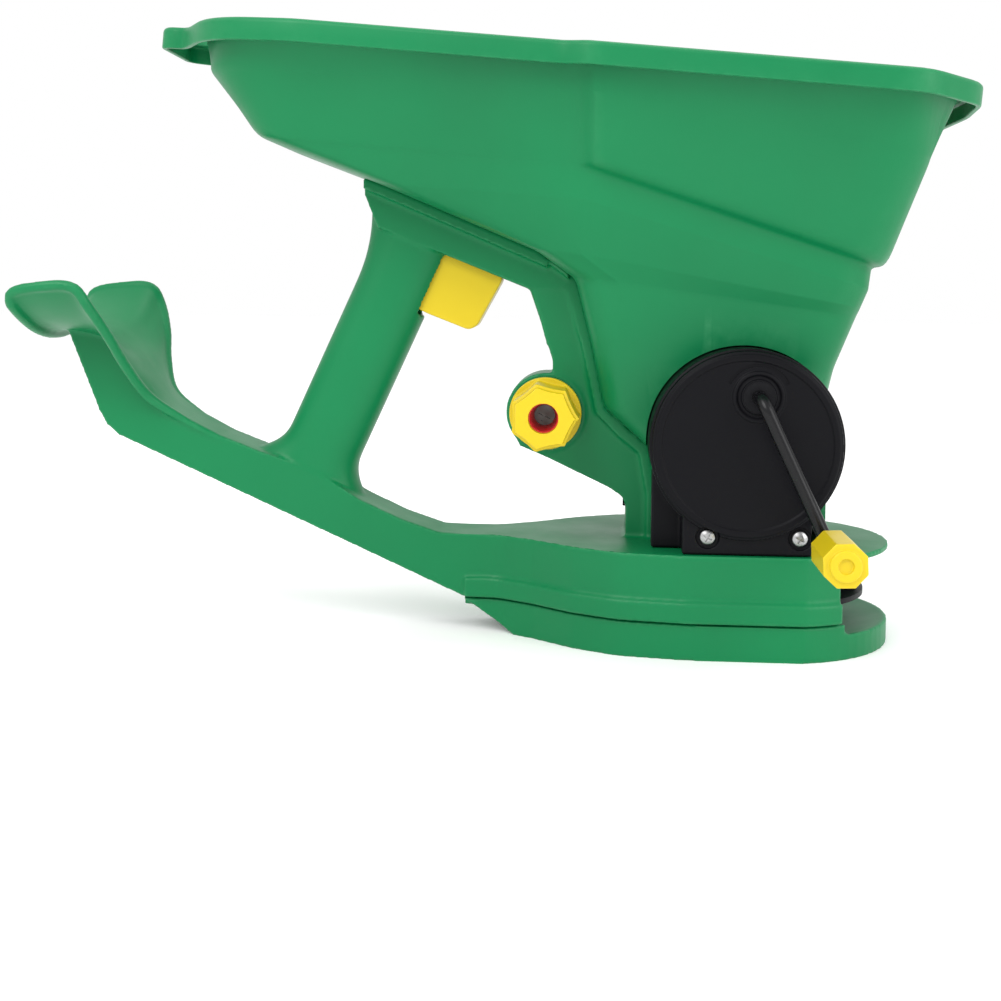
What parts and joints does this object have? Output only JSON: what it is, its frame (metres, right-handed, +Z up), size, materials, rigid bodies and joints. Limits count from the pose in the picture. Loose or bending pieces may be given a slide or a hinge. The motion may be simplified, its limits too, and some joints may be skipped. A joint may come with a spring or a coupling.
{
  "type": "hand crank garden spreader",
  "caption": "Hand-held hopper that meters seed or granules onto a spinning disc turned by a side crank, with a trigger, a flow dial and a forearm rest",
  "frame": {"origin": "where the axis of the vertical drive shaft meets the flat underside of the lower plate", "axes": "+X points forward, away from the arm rest and toward the spreading outlet; +Y points to the left, so the crank is on the -Y side; +Z points up out of the hopper's mouth"},
  "size_m": [0.4316, 0.2054, 0.2827],
  "materials": {
    "green_moulding": "satin moulded plastic",
    "yellow_moulding": "satin moulded plastic",
    "black_moulding": "fine textured moulded plastic",
    "red_moulding": "smooth moulded plastic",
    "gear_moulding": "natural moulded gear plastic",
    "coated_rod": "black coated steel rod",
    "screw_steel": "zinc plated",
    "bush_brass": "turned"
  },
  "bodies": {
    "frame": {"hopper": "green_moulding", "hopper_rim": "green_moulding", "gear_skirt": "green_moulding", "link_cover": "green_moulding", "top_rail": "green_moulding", "grip": "green_moulding", "front_strut": "green_moulding", "arm": "green_moulding", "armrest": "green_moulding", "base_housing": "green_moulding", "lower_plate": "green_moulding", "gear_case": "black_moulding", "gear_cover": "black_moulding", "case_screws": "screw_steel", "crank_bush": "black_moulding", "crown_axle": "screw_steel", "upper_bush": "bush_brass", "lower_bush": "bush_brass", "lever_pin": "screw_steel", "trigger_spring": "screw_steel", "frame_screws": "screw_steel", "cover_screw": "screw_steel", "plate_screws": "screw_steel"},
    "crank": {"crank_arm": "coated_rod", "crank_gear": "gear_moulding", "knob_screw": "screw_steel"},
    "handle": {"crank_knob": "yellow_moulding"},
    "crown": {"crown_gear": "gear_moulding"},
    "spinner": {"drive_shaft": "screw_steel", "shaft_gear": "gear_moulding", "agitator": "yellow_moulding", "impeller": "black_moulding", "impeller_nut": "screw_steel"},
    "gate": {"gate_lever": "black_moulding"},
    "slide_gate": {"shutter": "yellow_moulding"},
    "trigger": {"trigger": "yellow_moulding"},
    "dial": {"dial_knob": "yellow_moulding", "dial_drum": "red_moulding", "dial_cam": "gear_moulding", "dial_screw": "screw_steel"}
  },
  "joints": [
    {"name": "crank_spin", "type": "hinge", "parent": "frame", "child": "crank", "pos_m": [-0.002, 0, 0.116], "axis": [0, 1, 0], "continuous": true},
    {"name": "knob_spin", "type": "hinge", "parent": "crank", "child": "handle", "pos_m": [0.02716, 0, 0.05346], "axis": [0, 1, 0], "continuous": true},
    {"name": "crown_spin", "type": "hinge", "parent": "frame", "child": "crown", "pos_m": [0, 0, 0.092], "axis": [0, 1, 0], "continuous": true},
    {"name": "spinner_spin", "type": "hinge", "parent": "frame", "child": "spinner", "pos_m": [0, 0, 0], "axis": [0, 0, 1], "continuous": true},
    {"name": "trigger_slide", "type": "slide", "parent": "frame", "child": "trigger", "axis": [-0.913, 0, 0.408], "range_m": [0, 0.007], "stiffness_N_per_m": 900, "springref_m": -0.004, "deforming": ["trigger_spring"]},
    {"name": "gate_swing", "type": "hinge", "parent": "frame", "child": "gate", "pos_m": [-0.084, 0, 0.128], "axis": [0, 1, 0], "range_deg": [-10, 0]},
    {"name": "shutter_slide", "type": "slide", "parent": "frame", "child": "slide_gate", "axis": [1, 0, 0], "range_m": [0, 0.0114]},
    {"name": "dial_turn", "type": "hinge", "parent": "frame", "child": "dial", "pos_m": [-0.096, 0, 0.104], "axis": [0, 1, 0], "range_deg": [0, 300]}
  ],
  "couplings": [
    {"joint": "crown_spin", "follows": "crank_spin", "ratio": -2},
    {"joint": "spinner_spin", "follows": "crank_spin", "ratio": 3},
    {"joint": "gate_swing", "follows": "trigger_slide", "rad_per_m": -24.67},
    {"joint": "shutter_slide", "follows": "trigger_slide", "ratio": 1.611}
  ]
}
